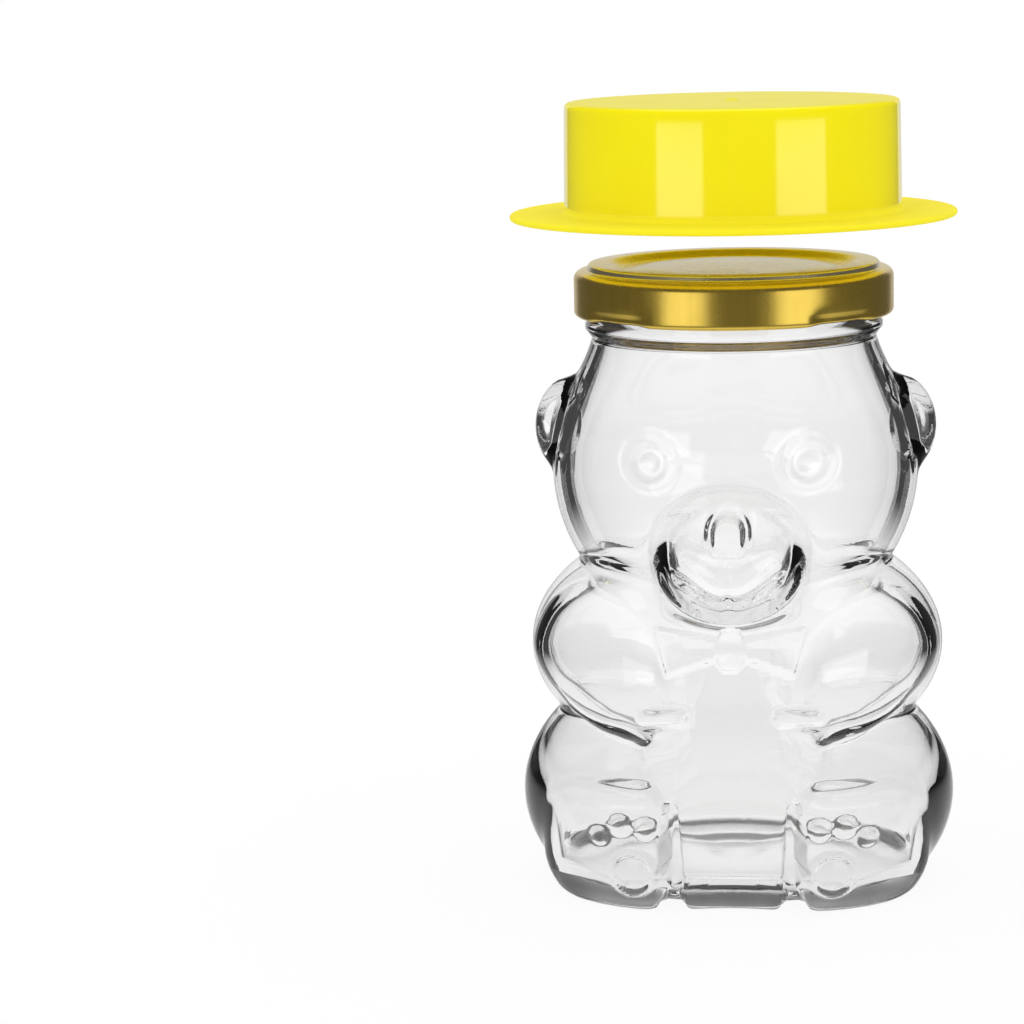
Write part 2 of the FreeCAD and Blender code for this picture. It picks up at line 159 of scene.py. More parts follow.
WALL = 3.3
FLOOR = 3.0
FLOOR_ROUNDING = 2.5
LARGE_FORMS = [
    ((0, 0, 17.0), (41.75, 30.0, 28.8)),
    ((0, 0, 46.5), (39.6, 29.5, 25.0)),
    ((0, 0, 81.0), (35.0, 32.0, 34.0)),
]
NECK_RADIUS = 26.5
MOUTH_RADIUS = 24.3
NECK_FOOT = 90.0
BEAD = 10.5
THREAD = 4.5
EAR = ((31.0, 0.0, 88.3), (7.4, 2.6, 9.7))
EAR_CUP = ((32.6, -4.6, 89.0), (3.8, 2.9, 6.2))
MUZZLE = ((0, -24.0, 66.0), (14.0, 8.6, 11.5))
SNOUT = ((0, -28.3, 66.8), (13.5, 10.5, 11.5))
FOREARM = ((22.5, -19.2, 43.0), (17.5, 8.5, 10.3))
ARM_RISE = 1.7
ARM_TURN = 41.0
ARM_DIP = 20.0
FOOT_SIDES = ((12.6, -0.7), (37.0, 24.3))
FOOT_CORNERS = (4.0, 9.0)
SOLE = 30.2
SOLE_SWEEP = 4.4
SOLE_FLAT_TO = 14.0
SOLE_SWEPT_AT = 26.0
FOOT_EDGE = 1.8
GROOVE_AT = 11.4
GROOVE_HALF_WIDTH = 1.1
GROOVE_SPLAY = 0.06
GROOVE_TOP = 21.0
GROOVE_BACK = 26.3
PANEL_HALF_WIDTH = 9.6
PANEL_TOP = 17.6
PANEL_FRONT = 29.0
PANEL_EDGE = 0.8
BASE_EDGE = 2.2
PUSH_UP = ((0, 0, -1.4), (24.0, 15.0, 1.9))


def block(points, low, high, edge):
    """A square block with rounded edges."""
    low, high = np.array(low), np.array(high)
    out = np.abs(points - (low + high) / 2) - (high - low) / 2 + edge
    return np.linalg.norm(np.maximum(out, 0.0), axis=-1) + np.minimum(out.max(axis=-1), 0.0) - edge


def foot(points, sides, deepest):
    """A foot from the bear's middle to its sole, which sweeps back towards the outer side."""
    middle = (np.array(sides[0]) + np.array(sides[1])) / 2
    half = (np.array(sides[1]) - np.array(sides[0])) / 2
    side = points[..., (0, 2)] - middle
    outer = ramp(points[..., 0], 16.8, 26.8)
    corner = FOOT_CORNERS[0] + (FOOT_CORNERS[1] - FOOT_CORNERS[0]) * outer
    side = np.abs(side) - (half - corner[..., None])
    side = np.linalg.norm(np.maximum(side, 0.0), axis=-1) + np.minimum(side.max(axis=-1), 0.0)
    side = side - (corner - FOOT_EDGE)
    swept = np.maximum(points[..., 0] - SOLE_FLAT_TO, 0.0) / (SOLE_SWEPT_AT - SOLE_FLAT_TO)
    sole = deepest - SOLE_SWEEP * swept ** 2
    front = np.abs(points[..., 1] + sole / 2) - (sole / 2 - FOOT_EDGE)
    both = np.hypot(np.maximum(side, 0.0), np.maximum(front, 0.0))
    return both + np.minimum(np.maximum(side, front), 0.0) - FOOT_EDGE


def panel(points):
    """The plain upright panel between the feet, with a low plinth under it."""
    upper = block(points, (-20, -PANEL_FRONT, 6.6), (PANEL_HALF_WIDTH, 0, PANEL_TOP), PANEL_EDGE)
    lower = block(points, (-20, -PANEL_FRONT, -3.0), (PANEL_HALF_WIDTH + 0.4, 0, 5.4), PANEL_EDGE)
    return np.minimum(upper, lower)


def groove(points):
    """The slot at the inner side of each foot, wider towards the bottom and round at its top."""
    half = GROOVE_HALF_WIDTH + GROOVE_SPLAY * (GROOVE_TOP - points[..., 2])
    above = np.maximum(points[..., 2] - (GROOVE_TOP - half), 0.0)
    side = np.hypot(points[..., 0] - GROOVE_AT, above) - half
    return np.maximum(side, points[..., 1] + GROOVE_BACK)


def threads(points):
    """Four level ridges, each a sixth of the way round, that the lid's lugs slide under."""
    turn = np.degrees(np.arctan2(points[..., 1], points[..., 0]))
    off = np.abs((turn + 45.0) % 90.0 - 45.0)
    sunk = 2.5 * ramp(off, 26.0, 31.0)
    return ring(points, RIM - THREAD, NECK_RADIUS + 0.1, 1.5) + sunk


THROAT = 1.0
CREASE_AT_SIDES = 1.4
CREASE_IN_MIDDLE = 22.0
HOLLOW_SOFTER = 3.0
HOLLOW_HIPS = ((0, 0, 20.5), (38.2, 26.8, 22.5))
HOLLOW_FEET = ((-20.0, -6.0), (33.0, 20.0))
HOLLOW_SOLE = 24.0
SNOUT_WALL = 4.2
ARM_WALL = 3.4
ARM_AXES = Matrix.Rotation(radians(ARM_TURN), 3, "Z") @ Matrix.Rotation(radians(-ARM_DIP), 3, "Y")


def crease(points):
    """How softly the large forms run together: tight at the bear's sides, soft at its front and back."""
    facing = points[..., 1] ** 2 / (points[..., 0] ** 2 + points[..., 1] ** 2 + TINY)
    return CREASE_AT_SIDES + (CREASE_IN_MIDDLE - CREASE_AT_SIDES) * ramp(facing, 0.5, 0.9)


def forearm(points):
    """The forearm, with a plain lower edge and an upper side that runs out softly into the body."""
    centre, radii = FOREARM
    local = (points - np.array(centre)) @ np.array(ARM_AXES)
    local[..., 2] = np.where(local[..., 2] > 0, local[..., 2] / ARM_RISE, local[..., 2])
    return ellipsoid(local, (0, 0, 0), radii)


def arm_blend(points):
    """Tight along the lower edge of the forearm, soft along its upper side."""
    return 1.5 + 4.5 * ramp(points[..., 2], 37.0, 48.0)


def snout_blend(points):
    """Tight beside the muzzle, softer above and below it."""
    return 2.0 + 2.0 * ramp(np.abs(points[..., 2] - MUZZLE[0][2]), 4.0, 9.0)


def bear_outside(points):
    """All the glass from outside, without the small details of its front."""
    points = points.copy()
    points[..., 0] = np.abs(points[..., 0])
    hips, torso, head = [ellipsoid(points, *form) for form in LARGE_FORMS]
    shape = joined(joined(hips, torso, crease(points)), head, THROAT)
    shape = joined(shape, upright_cylinder(points, NECK_RADIUS, NECK_FOOT), 5.0)
    shape = joined(shape, ring(points, RIM - BEAD, NECK_RADIUS + 0.4, 1.5), 0.8)
    shape = joined(shape, threads(points), 0.6)
    shape = joined(shape, ellipsoid(points, *EAR), 1.5)
    shape = carved(shape, ellipsoid(points, *EAR_CUP), 1.0)
    shape = joined(shape, ellipsoid(points, *MUZZLE), 4.0)
    shape = joined(shape, ellipsoid(points, *SNOUT), snout_blend(points))
    shape = joined(shape, forearm(points), arm_blend(points))
    shape = joined(shape, panel(points), 1.0)
    shape = joined(shape, foot(points, FOOT_SIDES, SOLE), 1.2)
    shape = carved(shape, groove(points), 0.9)
    shape = carved(shape, ellipsoid(points, *PUSH_UP), 0.5)
    return carved(shape, points[..., 2], BASE_EDGE)


def bear_inside(points):
    """The hollow: softer forms than the outside, because the glass was blown and not moulded here."""
    points = points.copy()
    points[..., 0] = np.abs(points[..., 0])
    torso, head = [ellipsoid(points, centre, np.array(radii) - WALL) for centre, radii in LARGE_FORMS[1:]]
    shape = joined(ellipsoid(points, *HOLLOW_HIPS), torso, crease(points) + HOLLOW_SOFTER)
    shape = joined(shape, head, THROAT + HOLLOW_SOFTER)
    shape = joined(shape, upright_cylinder(points, MOUTH_RADIUS, NECK_FOOT), 6.0)
    shape = joined(shape, ellipsoid(points, *SNOUT) + SNOUT_WALL, 7.0)
    shape = joined(shape, forearm(points) + ARM_WALL, arm_blend(points) + 2.5)
    shape = joined(shape, foot(points, HOLLOW_FEET, HOLLOW_SOLE), 8.0)
    return carved(shape, points[..., 2] - FLOOR, FLOOR_ROUNDING)


# Small details of the bear's front, as (across, up) places and sizes on it.

EYE = (14.6, 85.5)
EYE_RADIUS = 5.7
PUPIL_RADIUS = 2.4
MUZZLE_LEVEL = 68.8
MUZZLE_RADII = (15.5, 13.4)
NOSE_LEVEL = 73.8
NOSE_RADII = (3.2, 3.4)
NOSE_RISE = 2.4
MOUTH_LEVEL = 62.4
MOUTH_RISE = 4.6
MOUTH_CORNER = 10.5
BOW_KNOT = 50.6
BOW_FROM = 3.1
BOW_TO = 14.9
TOES = ((25.2, 14.0, 1.9, 0.35), (21.0, 16.6, 2.1, 0.7), (16.2, 16.2, 2.15, 0.7))
PAD = (18.6, 7.6)
PAD_RIM_RADIUS = 3.8
FINGER = (12.8, 38.0)
FINGER_HOLLOW = (13.8, 36.2)


def eyes(across, up):
    """A low round plate with a ring sunk into it for the pupil."""
    off = np.hypot(across - EYE[0], up - EYE[1])
    plate = 0.35 * (1.0 - ramp(off, EYE_RADIUS - 0.5, EYE_RADIUS + 0.5))
    pupil = 0.45 * ridge(off - PUPIL_RADIUS, 0.85)
    return plate - pupil


def muzzle(across, up):
    """The round edge of the muzzle, faint above and bold below."""
    off = np.hypot(across / MUZZLE_RADII[0], (up - MUZZLE_LEVEL) / MUZZLE_RADII[1])
    low = 1.0 - ramp(up, 58.0, 76.0)
    return (0.55 + 0.6 * low) * (1.0 - ramp(off, 0.9, 1.0))


def nose(across, up):
    """A blunt button that is steep above and at its sides, and runs out gently below."""
    off = np.hypot(across / NOSE_RADII[0], np.maximum(up - NOSE_LEVEL, 0.0) / NOSE_RADII[1])
    button = NOSE_RISE * (1.0 - ramp(off, 0.64, 0.98)) * ramp(up, 69.5, 74.5)
    return button - 1.2 * ridge(off - 1.08, 0.18) * ramp(up, 71.5, 73.0)


def mouth(across, up):
    """The upper lip as a raised moustache shape, the line of the mouth, and the lower lip."""
    lip_top = 67.1 + 2.9 * ramp(across, 0.5, 7.8) - 2.0 * ramp(across, 7.8, 9.0)
    lip_bottom = 63.7 + 5.6 * ramp(across, 1.2, MOUTH_CORNER)
    upper = ramp(up, lip_bottom - 0.3, lip_bottom + 0.3) * (1.0 - ramp(up, lip_top - 0.3, lip_top + 0.3))
    upper = upper * (1.0 - ramp(across, 8.0, 8.8))
    line = MOUTH_LEVEL + 0.5 * ridge(across, 0.7) + MOUTH_RISE * ramp(across, 1.0, MOUTH_CORNER)
    inside = 1.0 - ramp(across, 9.2, 10.2)
    parting = ridge(up - line, 0.42) * inside
    lower = ramp(line - up, 0.4, 1.0) * (1.0 - ramp(line - up, 2.2, 2.9)) * inside
    philtrum = ridge(across, 0.5) * ramp(up, 64.5, 66.0) * (1.0 - ramp(up, 70.5, 72.0))
    return 0.22 * upper + 0.2 * lower - 0.32 * parting - 0.25 * philtrum


def bow(across, up):
    """Two raised wings with a pleat in each, and the knot between them."""
    out = (across - BOW_FROM) / (BOW_TO - BOW_FROM)
    top = 53.0 + 2.2 * out
    bottom = 48.6 - 3.4 * out
    side = 11.4 + 2.9 * (up - 45.5) / 9.7
    inset = np.minimum(np.minimum(top - up, up - bottom), side - across)
    wing = ramp(inset, -0.3, 0.45)
    pleat = ridge(up - 51.0, 0.45) * ramp(across, 3.0, 4.0) * (1.0 - ramp(across, 7.0, 10.0))
    sag = 0.35 * ramp(across, 4.0, 13.0)
    round_knot = 1.0 - np.hypot(across / 3.0, (up - BOW_KNOT) / 4.0)
    knot = np.sqrt(np.clip(round_knot, 0.0, 1.0)) * 1.2
    around = ridge(round_knot, 0.12)
    return np.maximum(wing * (1.1 - sag) - 0.3 * pleat - 0.2 * around * wing, knot + 0.6 * (knot > 0))


def paw_pads(across, up):
    """Small lenses on each sole: three toes and the large pad with its rim."""
    relief = 0.0
    for toe_across, toe_up, radius, rise in TOES:
        off = np.hypot(across - toe_across, up - toe_up) / radius
        relief = relief + rise * np.sqrt(np.clip(1.0 - off * off, 0.0, 1.0))
    off = np.hypot(across - PAD[0], up - PAD[1])
    dome = 0.7 * np.sqrt(np.clip(1.0 - (off / 3.1) ** 2, 0.0, 1.0))
    rim = ridge(off - PAD_RIM_RADIUS, 0.42)
    return relief + dome + rim


def hand(across, up):
    """The finger that lies on the belly, with a small hollow below it."""
    off = np.hypot(np.maximum(np.abs(across - FINGER[0]) - 3.4, 0.0), up - FINGER[1])
    finger = 1.3 * (1.0 - ramp(off, 0.9, 2.0)) * (1.0 - ramp(across, 14.0, 18.0))
    hollow = ridge(np.hypot((across - FINGER_HOLLOW[0]) / 2.6, (up - FINGER_HOLLOW[1]) / 0.7), 0.9)
    return finger - 1.5 * hollow


def relief(points):
    """How far small moulded details stand out of the bear's front, or sink into it."""
    across = np.abs(points[..., 0])
    up = points[..., 2]
    face = eyes(across, up) + muzzle(across, up) + nose(across, up) + mouth(across, up)
    body = bow(across, up) + paw_pads(across, up) + hand(across, up)
    return (face + body) * ramp(-points[..., 1], 6.0, 12.0)


COLUMNS = 288
FRONT_CROWDING = 0.6
FAN_LEVEL = 20.0
LONGEST_RAY = 50.0
SAFE_STEP = 0.8
LEAST_STEP = 0.6
HALVINGS = 8
NEAR = 1e-4
RIM_ROUNDING = 1.1
NECK_TOP = RIM - RIM_ROUNDING
# Rows of the jar, closest over the face and feet. A fan spreads from one point: its first and last
# slope, and how many. A band lies level: its first and last level, and how many.
OUTSIDE_FANS = ((-90.0, -34.0, 18), (-33.4, -0.6, 52))
OUTSIDE_BANDS = ((FAN_LEVEL, 53.6, 58), (54.0, 80.0, 62), (80.6, 98.0, 24), (98.6, NECK_TOP, 22))
RIM_FAN = (15.0, 165.0, 7)
INSIDE_BANDS = ((NECK_TOP, 80.8, 20), (80.0, 54.0, 36), (53.0, FAN_LEVEL, 24))
INSIDE_FAN = (-2.0, -90.0, 20)


def rays():
    """For each row of the jar: the level it starts from, its slope in degrees, and its wall."""
    rows = []
    for fan in OUTSIDE_FANS:
        rows += [(FAN_LEVEL, slope, "outside") for slope in np.linspace(*fan)]
    for band in OUTSIDE_BANDS:
        rows += [(level, 0.0, "outside") for level in np.linspace(*band)]
    rows += [(NECK_TOP, slope, "rim") for slope in np.linspace(*RIM_FAN)]
    for band in INSIDE_BANDS:
        rows += [(level, 0.0, "inside") for level in np.linspace(*band)]
    return rows + [(FAN_LEVEL, slope, "inside") for slope in np.linspace(*INSIDE_FAN)]


def reach_wall(field, starts, towards):
    """Walks in along each ray until it is inside the form, then halves the last step to find the wall."""
    outside = np.full(len(starts), LONGEST_RAY)
    inside = outside.copy()
    live = np.arange(len(starts))
    while len(live):
        value = field(starts[live] + towards[live] * inside[live, None])
        live, value = live[value >= 0], value[value >= 0]
        outside[live] = inside[live]
        inside[live] -= np.maximum(value * SAFE_STEP, LEAST_STEP)
    for _ in range(HALVINGS):
        middle = (inside + outside) / 2
        within = field(starts + towards * middle[:, None]) < 0
        inside = np.where(within, middle, inside)
        outside = np.where(within, outside, middle)
    return inside


def closed_grid(columns, rows):
    """A grid whose sides are welded to each other, and whose first and last rows are one point each."""
    form = bmesh.new()
    bmesh.ops.create_grid(form, x_segments=columns, y_segments=rows - 1, size=1.0)
    for axis, far in ((1, 1.0), (1, -1.0), (0, 1.0)):
        line = [vert for vert in form.verts if abs(vert.co[axis] - far) < NEAR]
        if axis:
            targets = {vert: line[0] for vert in line[1:]}
        else:
            back = [vert for vert in form.verts if abs(vert.co.x + 1.0) < NEAR]
            back.sort(key=lambda vert: vert.co.y)
            line.sort(key=lambda vert: vert.co.y)
            targets = dict(zip(line, back))
        bmesh.ops.weld_verts(form, targetmap=targets)
    return form


def shape_bear(form):
    """Moves every point of the grid to its place on the bear: its row gives its ray."""
    rows = rays()
    verts = list(form.verts)
    coded = np.array([vert.co for vert in verts])
    row = np.rint((coded[:, 1] + 1.0) / 2.0 * (len(rows) - 1)).astype(int)
    around = coded[:, 0] * pi
    around = around - FRONT_CROWDING * np.sin(around)
    level = np.array([item[0] for item in rows])[row]
    slope = np.radians(np.array([item[1] for item in rows]))[row]
    wall = np.array([item[2] for item in rows])[row]
    out = np.stack([np.sin(around), -np.cos(around), np.zeros(len(row))], axis=-1)
    towards = out * np.cos(slope)[:, None]
    towards[:, 2] = np.sin(slope)
    starts = np.zeros((len(row), 3))
    starts[:, 2] = level
    places = np.zeros((len(row), 3))
    for name, field in (("outside", bear_outside), ("inside", bear_inside)):
        chosen = np.flatnonzero(wall == name)
        distance = reach_wall(field, starts[chosen], towards[chosen])
        places[chosen] = starts[chosen] + towards[chosen] * distance[:, None]
        if name == "outside":
            places[chosen] += towards[chosen] * relief(places[chosen])[:, None]
    lip = wall == "rim"
    middle = (NECK_RADIUS + MOUTH_RADIUS) / 2
    places[lip] = starts[lip] + out[lip] * (middle + RIM_ROUNDING * np.cos(slope[lip]))[:, None]
    places[lip, 2] += RIM_ROUNDING * np.sin(slope[lip])
    places[:, 2] = np.maximum(places[:, 2], 0.0)
    for vert, place in zip(verts, places):
        vert.co = place


def build_bear(material):
    form = closed_grid(COLUMNS, len(rays()))
    shape_bear(form)
    return finished(form, "bear_jar", "jar", material, "glass_jar")


# ---- The lid -----------------------------------------------------------------------------------

LID_RADIUS = 30.4
SHEET = 0.25
CURL_RADIUS = 1.0
LUG_COUNT = 4
LUG_HALF_SPAN = 12.0
LUG_TIP = 27.0
LUG_WIDTH = 3.0
LUG_FLATNESS = 0.68
LUG_DENT = 0.45
DENT_LEVEL = 1.4
PRESSED_UP_TO = 5.5
LID_PANEL_LEVEL = 9.1
LID_COLUMNS = 192


def lid_chain():
    """The lid's section from the middle of its top to its rolled edge, and back along the inside."""
    top = [(0.0, LID_PANEL_LEVEL)] + run((0.0, LID_PANEL_LEVEL), (16.6, LID_PANEL_LEVEL), 6)
    top += [(16.6, LID_PANEL_LEVEL), (17.0, 9.08), (18.4, 8.9), (19.6, 8.68), (20.2, 8.6)]
    top += [(20.8, 8.58), (21.5, 8.62), (22.0, 8.75), (22.6, 9.1), (23.3, 9.6), (23.8, 9.88)]
    top += [(24.4, 10.0), (25.4, 10.0), (26.4, 10.0), (27.1, 9.95)]
    top += arc((27.1, 9.35), 0.62, 75, 0, 6)
    top += arc((28.25, 9.15), 0.5, 180, 262, 6)
    top += arc((28.7, 7.0), 1.7, 86, 0, 12)
    top += run((LID_RADIUS, 7.0), (LID_RADIUS, CURL_RADIUS), 14)
    roll = arc((LID_RADIUS - CURL_RADIUS, CURL_RADIUS), CURL_RADIUS, 0, -318, 26)
    inner = [(across - SHEET * 0.9, up - SHEET * 0.9) for across, up in reversed(top[1:-14])]
    side = run((LID_RADIUS - SHEET, 1.9), (LID_RADIUS - SHEET, 6.8), 10)
    return top + roll + side + inner + [(0.0, LID_PANEL_LEVEL - SHEET)]


def press_lugs(form):
    """Flattens the rolled edge inwards into four lugs, with a shallow dent in the skirt above each."""
    for vert in form.verts:
        across = Vector((vert.co.x, vert.co.y)).length
        if vert.co.z > PRESSED_UP_TO or across < LID_RADIUS - 2 * CURL_RADIUS - 0.2:
            continue
        turn = np.degrees(np.arctan2(vert.co.y, vert.co.x))
        off = abs((turn % (360 / LUG_COUNT)) - 180 / LUG_COUNT)
        pressed = 1.0 - ramp(off, LUG_HALF_SPAN - 4.0, LUG_HALF_SPAN + 5.0)
        if pressed <= 0:
            continue
        wanted = across
        level = vert.co.z
        if level < 2 * CURL_RADIUS and across < LID_RADIUS + 0.01:
            share = (across - (LID_RADIUS - 2 * CURL_RADIUS)) / (2 * CURL_RADIUS)
            wanted = LUG_TIP + share * LUG_WIDTH
            level = CURL_RADIUS + (vert.co.z - CURL_RADIUS) * LUG_FLATNESS
        dent = LUG_DENT * float(ridge(vert.co.z - DENT_LEVEL, 1.7))
        wanted = min(wanted, across) - dent
        scale = (across + (wanted - across) * pressed) / across
        vert.co.x *= scale
        vert.co.y *= scale
        vert.co.z += (level - vert.co.z) * pressed


def build_lid(material):
    form = spun(lid_chain(), LID_COLUMNS)
    press_lugs(form)
    bmesh.ops.translate(form, vec=(0, 0, LID_BOTTOM), verts=form.verts)
    return finished(form, "twist_off_lid", "lid", material, "lid_shell")


# ---- The hat -----------------------------------------------------------------------------------

CROWN_RADIUS = 32.0
CROWN_TOP = 22.0
BRIM_THICKNESS = 1.2
BRIM_EDGE = 0.58
INNER_TOP = 21.0
HAT_COLUMNS = 224


def hat_chain():
    """The hat's section from the moulding mark on its top, out to the brim and back up inside."""
    chain = [(0.0, 22.28), (0.7, 22.27), (1.05, 22.2), (1.25, 22.04), (1.5, CROWN_TOP)]
    chain += run((1.5, CROWN_TOP), (30.6, CROWN_TOP), 8)
    chain += arc((30.75, 21.05), 0.95, 90, 2, 9)
    chain += run((31.72, 20.8), (31.98, 2.4), 16)
    chain += arc((32.98, 2.2), 1.0, 180, 268, 8)
    chain += run((33.1, BRIM_THICKNESS), (41.7, 1.18), 8)
    chain += arc((BRIM_RADIUS - BRIM_EDGE, BRIM_THICKNESS / 2), BRIM_EDGE, 88, -88, 11)
    chain += run((41.7, 0.02), (31.5, 0.0), 8)
    chain += arc((31.5, 0.5), 0.5, -92, -178, 5)
    chain += run((CROWN_RADIUS - 1.0, 0.6), (30.74, 20.6), 14)
    chain += arc((30.3, 20.6), 0.4, 0, 88, 5)
    chain += run((30.2, INNER_TOP), (0.0, INNER_TOP), 6)
    return chain + [(0.0, INNER_TOP)]


def build_hat(material):
    form = spun(hat_chain(), HAT_COLUMNS)
    bmesh.ops.translate(form, vec=(0, 0, HAT_BOTTOM), verts=form.verts)
    return finished(form, "boater_hat", "hat", material, "hat")


# ---- Materials ---------------------------------------------------------------------------------

def handling_group():
    """Faint smears and fine scratches that every handled surface has."""
    group = bpy.data.node_groups.new("handling", "ShaderNodeTree")
    face = group.interface
    face.new_socket("Smear Size", in_out="INPUT", socket_type="NodeSocketFloat")
    face.new_socket("Scratch Size", in_out="INPUT", socket_type="NodeSocketFloat")
    face.new_socket("Smears", in_out="OUTPUT", socket_type="NodeSocketFloat")
    face.new_socket("Scratches", in_out="OUTPUT", socket_type="NodeSocketFloat")
    nodes, links = group.nodes, group.links
    given = nodes.new("NodeGroupInput")
    out = nodes.new("NodeGroupOutput")
    place = nodes.new("ShaderNodeTexCoord")
    smears = nodes.new("ShaderNodeTexNoise")
    smears.inputs["Detail"].default_value = 4.0
    links.new(place.outputs["Object"], smears.inputs["Vector"])
    links.new(given.outputs["Smear Size"], smears.inputs["Scale"])
    links.new(smears.outputs["Fac"], out.inputs["Smears"])
    stretch = nodes.new("ShaderNodeMapping")
    stretch.inputs["Rotation"].default_value = (radians(20), radians(35), radians(15))
    stretch.inputs["Scale"].default_value = (1.0, 1.0, 0.06)
    links.new(place.outputs["Object"], stretch.inputs["Vector"])
    scratches = nodes.new("ShaderNodeTexNoise")
    scratches.inputs["Detail"].default_value = 3.0
    links.new(stretch.outputs["Vector"], scratches.inputs["Vector"])
    links.new(given.outputs["Scratch Size"], scratches.inputs["Scale"])
    links.new(scratches.outputs["Fac"], out.inputs["Scratches"])
    return group


class Finish:
    """A material in the making, with short ways to add and join its nodes."""

    def __init__(self, name):
        self.material = bpy.data.materials.new(name)
        self.material.use_nodes = True
        self.nodes = self.material.node_tree.nodes
        self.links = self.material.node_tree.links
        self.shader = self.nodes["Principled BSDF"]

    def set(self, **values):
        """Sets the shader's sockets by name, with _ for a space."""
        for name, value in values.items():
            self.shader.inputs[name.replace("_", " ")].default_value = value

    def add(self, kind, **values):
        """A new node with its inputs set by name, with _ for a space."""
        node = self.nodes.new(kind)
        for name, value in values.items():
            node.inputs[name.replace("_", " ")].default_value = value
        return node

    def join(self, source, target):
        self.links.new(source, target)

    def spread(self, source, low, high):
        """Maps a mask onto a range, with the noise's usual reach stretched to the whole of it."""
        node = self.add("ShaderNodeMapRange", From_Min=0.3, From_Max=0.7, To_Min=low, To_Max=high)
        self.join(source, node.inputs["Value"])
        return node.outputs["Result"]

    def tint(self, source, dark, light):
        """A colour that goes from dark to light with a mask."""
        node = self.add("ShaderNodeMix")
        node.data_type = "RGBA"
        self.join(source, node.inputs["Factor"])
        node.inputs["A"].default_value = dark
        node.inputs["B"].default_value = light
        return node.outputs["Result"]

    def blend(self, mask, one, other):
        """One colour where the mask is 0 and the other where it is 1."""
        node = self.add("ShaderNodeMix")
        node.data_type = "RGBA"
        self.join(mask, node.inputs["Factor"])
        self.join(one, node.inputs["A"])
        self.join(other, node.inputs["B"])
        return node.outputs["Result"]

    def within(self, radius, soft=0.15):
        """A mask of 1 nearer to the upright axis than a radius in millimetres, and 0 outside it."""
        place = self.nodes.new("ShaderNodeTexCoord")
        level = self.nodes.new("ShaderNodeVectorMath")
        level.operation = "MULTIPLY"
        level.inputs[1].default_value = (1, 1, 0)
        self.join(place.outputs["Object"], level.inputs[0])
        length = self.nodes.new("ShaderNodeVectorMath")
        length.operation = "LENGTH"
        self.join(level.outputs["Vector"], length.inputs[0])
        edge = self.add("ShaderNodeMapRange", From_Min=(radius + soft) * MM, From_Max=(radius - soft) * MM)
        self.join(length.outputs["Value"], edge.inputs["Value"])
        return edge.outputs["Result"]

    def above(self, level, soft=0.2):
        """A mask of 1 above a level in millimetres and 0 below it."""
        place = self.nodes.new("ShaderNodeTexCoord")
        parts = self.nodes.new("ShaderNodeSeparateXYZ")
        self.join(place.outputs["Object"], parts.inputs["Vector"])
        edge = self.add("ShaderNodeMapRange", From_Min=(level - soft) * MM, From_Max=(level + soft) * MM)
        self.join(parts.outputs["Z"], edge.inputs["Value"])
        return edge.outputs["Result"]

    def choose(self, mask, low, high):
        """One value where the mask is 0 and the other where it is 1. Each is a number or a mask."""
        node = self.add("ShaderNodeMix")
        self.join(mask, node.inputs["Factor"])
        for value, name in ((low, "A"), (high, "B")):
            if isinstance(value, float):
                node.inputs[name].default_value = value
            else:
                self.join(value, node.inputs[name])
        return node.outputs["Result"]

    def bump(self, source, distance, strength):
        """A normal roughened by a mask, at most so many metres deep."""
        node = self.add("ShaderNodeBump", Strength=strength, Distance=distance)
        self.join(source, node.inputs["Height"])
        return node.outputs["Normal"]

    def handled(self, smear_size, scratch_size):
        """The smears and scratches of the shared group, at this surface's own scale."""
        node = self.nodes.new("ShaderNodeGroup")
        node.node_tree = HANDLING
        node.inputs["Smear Size"].default_value = smear_size
        node.inputs["Scratch Size"].default_value = scratch_size
        return node.outputs["Smears"], node.outputs["Scratches"]


HANDLING = handling_group()
BEARING_SURFACE = 0.45
# Radius of the lid's middle panel, which is painted a pale neutral colour as the reflection of the white
# surroundings.
PAINTED_REFLECTION_PANEL_RADIUS = 20.6
# Level on the lid from which a paler cream colour is painted on the top rings as a highlight.
PAINTED_HIGHLIGHT_TOP_FROM = 8.4
DULL_BRIM_UP_TO = 2.4


def clear_glass():
    """Clear fire-polished glass with faint smears, stippled where it stands."""
    finish = Finish("clear_glass")
    finish.set(Base_Color=(1, 1, 1, 1), Roughness=0.0, IOR=1.5, Transmission_Weight=1.0)
    smears, _ = finish.handled(60.0, 900.0)
    polished = finish.above(BEARING_SURFACE, 0.15)
    rough = finish.choose(polished, 0.3, finish.spread(smears, 0.0, 0.01))
    finish.join(rough, finish.shader.inputs["Roughness"])
    return finish.material


def gold_tinplate():
    """Gold lacquer over tinplate, with a paler cream colour painted on the top rings as a highlight, and a
    pale neutral colour painted on the middle panel as the reflection of the white surroundings.
    """
    finish = Finish("gold_tinplate")
    finish.set(Metallic=1.0, Coat_Weight=0.25, Coat_Roughness=0.2)
    smears, scratches = finish.handled(90.0, 900.0)
    gold = finish.tint(finish.spread(scratches, 0.0, 1.0), (0.85, 0.59, 0.09, 1), (0.90, 0.64, 0.11, 1))
    # Painted reflection: the middle panel gets a pale neutral colour in place of the white surroundings
    # that its gold reflects at a grazing angle.
    panel_painted_reflection = finish.tint(finish.spread(smears, 0.0, 1.0), (0.86, 0.80, 0.74, 1), (0.92, 0.87, 0.82, 1))
    # Painted highlight: the top rings get a paler cream colour in place of the highlights along them.
    pale = finish.tint(finish.spread(smears, 0.0, 1.0), (0.90, 0.76, 0.45, 1), (0.94, 0.82, 0.54, 1))
    gold_with_painted_highlight = finish.blend(finish.above(LID_BOTTOM + PAINTED_HIGHLIGHT_TOP_FROM, 0.5), gold, pale)
    colour = finish.blend(finish.within(PAINTED_REFLECTION_PANEL_RADIUS), gold_with_painted_highlight, panel_painted_reflection)
    finish.join(colour, finish.shader.inputs["Base Color"])
    finish.join(finish.spread(smears, 0.24, 0.30), finish.shader.inputs["Roughness"])
    return finish.material


